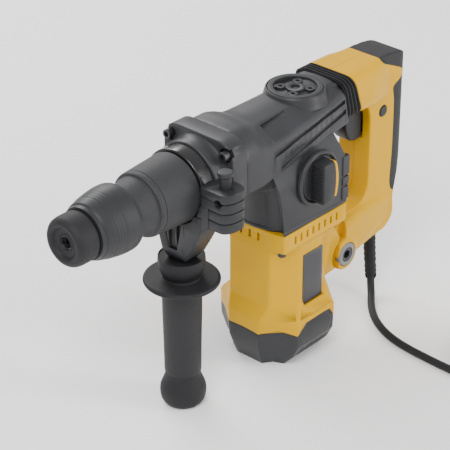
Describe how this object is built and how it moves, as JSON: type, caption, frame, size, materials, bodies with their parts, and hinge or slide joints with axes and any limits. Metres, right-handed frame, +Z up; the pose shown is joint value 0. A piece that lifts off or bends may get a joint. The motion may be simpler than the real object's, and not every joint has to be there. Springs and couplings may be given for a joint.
{
  "type": "demolition hammer",
  "caption": "Mains-powered rotary and demolition hammer with an upright motor, a quick-change chuck, a side handle and a sprung D-shaped rear handle.",
  "frame": {"origin": "centre of the motor tail cap's flat foot, on the surface that the tool stands on", "axes": "+X from the chuck towards the D-handle along the barrel, +Y towards the side without the mode knob, +Z up along the motor"},
  "size_m": [0.4515, 0.334, 0.2545],
  "materials": {
    "black_plastic": "fine textured",
    "yellow_plastic": "satin",
    "rubber": "matte",
    "grey": "satin",
    "steel": "ground",
    "dark_steel": "black oxide",
    "aluminium": "machined",
    "copper": "turned copper",
    "carbon": "carbon"
  },
  "bodies": {
    "tool": {"tail_cap": "black_plastic", "motor_housing": "yellow_plastic", "label_plate": "grey", "stator": "dark_steel", "motor_bearing_lower": "steel", "motor_bearing_upper": "steel", "brush_holder_left": "aluminium", "brush_holder_right": "aluminium", "carbon_brush_left": "carbon", "carbon_brush_right": "carbon", "gear_case": "black_plastic", "top_cover": "black_plastic", "grease_cap": "black_plastic", "front_flange": "black_plastic", "flange_screw_1": "dark_steel", "flange_screw_2": "dark_steel", "flange_screw_3": "dark_steel", "flange_screw_4": "dark_steel", "barrel_housing": "black_plastic", "front_bearing": "steel", "rear_bearing": "steel", "crank_bearing": "steel", "knob_ring": "black_plastic", "bellows": "rubber", "cord": "rubber", "cord_coil": "rubber", "plug": "rubber"},
    "armature": {"armature_shaft": "steel", "armature_core": "dark_steel", "commutator": "copper", "cooling_fan": "black_plastic"},
    "crank": {"crank_gear": "steel"},
    "con_rod": {"connecting_rod": "dark_steel", "wrist_pin": "steel"},
    "piston": {"piston": "aluminium"},
    "ram": {"ram": "steel"},
    "impact_bolt": {"impact_bolt": "steel"},
    "lay_shaft": {"lay_shaft": "steel"},
    "spindle": {"spindle": "steel", "spindle_bevel_gear": "steel", "locking_ball_left": "steel", "locking_ball_right": "steel", "dust_cap": "rubber", "sleeve_spring": "steel"},
    "locking_sleeve": {"locking_sleeve": "black_plastic"},
    "mode_knob": {"mode_knob": "black_plastic", "knob_pointer": "yellow_plastic"},
    "rear_handle": {"handle_shell_left": "yellow_plastic", "handle_shell_right": "yellow_plastic", "grip_cover": "rubber", "pivot_bolt": "grey", "pivot_nut": "grey", "switch_body": "carbon", "strain_relief": "rubber"},
    "trigger": {"trigger": "black_plastic"},
    "lock_button": {"lock_button": "black_plastic"},
    "side_handle": {"clamp_body": "black_plastic", "clamp_bolt": "steel"},
    "side_grip": {"side_grip": "rubber"},
    "depth_button": {"depth_stop_button": "black_plastic"}
  },
  "joints": [
    {"name": "armature_spin", "type": "hinge", "parent": "tool", "child": "armature", "pos_m": [0, 0, 0.1], "axis": [0, 0, 1], "continuous": true},
    {"name": "crank_spin", "type": "hinge", "parent": "tool", "child": "crank", "pos_m": [0.02, 0, 0.18], "axis": [0, 0, 1], "continuous": true},
    {"name": "con_rod_pivot", "type": "hinge", "parent": "crank", "child": "con_rod", "pos_m": [0.013, 0, 0.216], "axis": [0, 0, 1], "continuous": true},
    {"name": "piston_slide", "type": "slide", "parent": "tool", "child": "piston", "axis": [1, 0, 0], "range_m": [-0.007, 0.007]},
    {"name": "ram_slide", "type": "slide", "parent": "spindle", "child": "ram", "axis": [1, 0, 0], "range_m": [-0.0185, 0]},
    {"name": "impact_bolt_slide", "type": "slide", "parent": "spindle", "child": "impact_bolt", "axis": [1, 0, 0], "range_m": [-0.005, 0]},
    {"name": "lay_shaft_spin", "type": "hinge", "parent": "tool", "child": "lay_shaft", "pos_m": [-0.016, 0, 0.17], "axis": [0, 0, 1], "continuous": true},
    {"name": "spindle_spin", "type": "hinge", "parent": "tool", "child": "spindle", "pos_m": [-0.15, 0, 0.216], "axis": [1, 0, 0], "continuous": true},
    {"name": "sleeve_pull", "type": "slide", "parent": "spindle", "child": "locking_sleeve", "axis": [1, 0, 0], "range_m": [0, 0.0075], "stiffness_N_per_m": 2200, "springref_m": -0.006, "deforming": ["sleeve_spring"]},
    {"name": "mode_knob_turn", "type": "hinge", "parent": "tool", "child": "mode_knob", "pos_m": [0.005, -0.043, 0.183], "axis": [0, -1, 0], "range_deg": [-90, 90]},
    {"name": "rear_handle_pivot", "type": "hinge", "parent": "tool", "child": "rear_handle", "pos_m": [0.066, 0, 0.074], "axis": [0, 1, 0], "range_deg": [-1.2, 0.6], "stiffness_Nm_per_rad": 1800, "deforming": ["bellows", "cord"]},
    {"name": "trigger_pull", "type": "slide", "parent": "rear_handle", "child": "trigger", "axis": [1, 0, 0], "range_m": [0, 0.007], "stiffness_N_per_m": 900, "springref_m": -0.004},
    {"name": "lock_button_press", "type": "slide", "parent": "rear_handle", "child": "lock_button", "axis": [0, 1, 0], "range_m": [0, 0.003], "stiffness_N_per_m": 500, "springref_m": -0.003},
    {"name": "side_handle_swing", "type": "hinge", "parent": "tool", "child": "side_handle", "pos_m": [-0.1249, 0, 0.216], "axis": [1, 0, 0], "range_deg": [-110, 95]},
    {"name": "side_grip_twist", "type": "hinge", "parent": "side_handle", "child": "side_grip", "pos_m": [-0.1249, 0, 0.07], "axis": [0, 0, 1], "range_deg": [-180, 180]},
    {"name": "depth_button_press", "type": "slide", "parent": "side_handle", "child": "depth_button", "axis": [0, 0, -1], "range_m": [0, 0.004], "stiffness_N_per_m": 600, "springref_m": -0.003}
  ],
  "couplings": [
    {"joint": "armature_spin", "follows": "crank_spin", "ratio": -5.6667},
    {"joint": "con_rod_pivot", "follows": "crank_spin", "ratio": -1},
    {"joint": "lay_shaft_spin", "follows": "crank_spin", "ratio": 1.3077},
    {"joint": "spindle_spin", "follows": "crank_spin", "ratio": -0.4359}
  ]
}
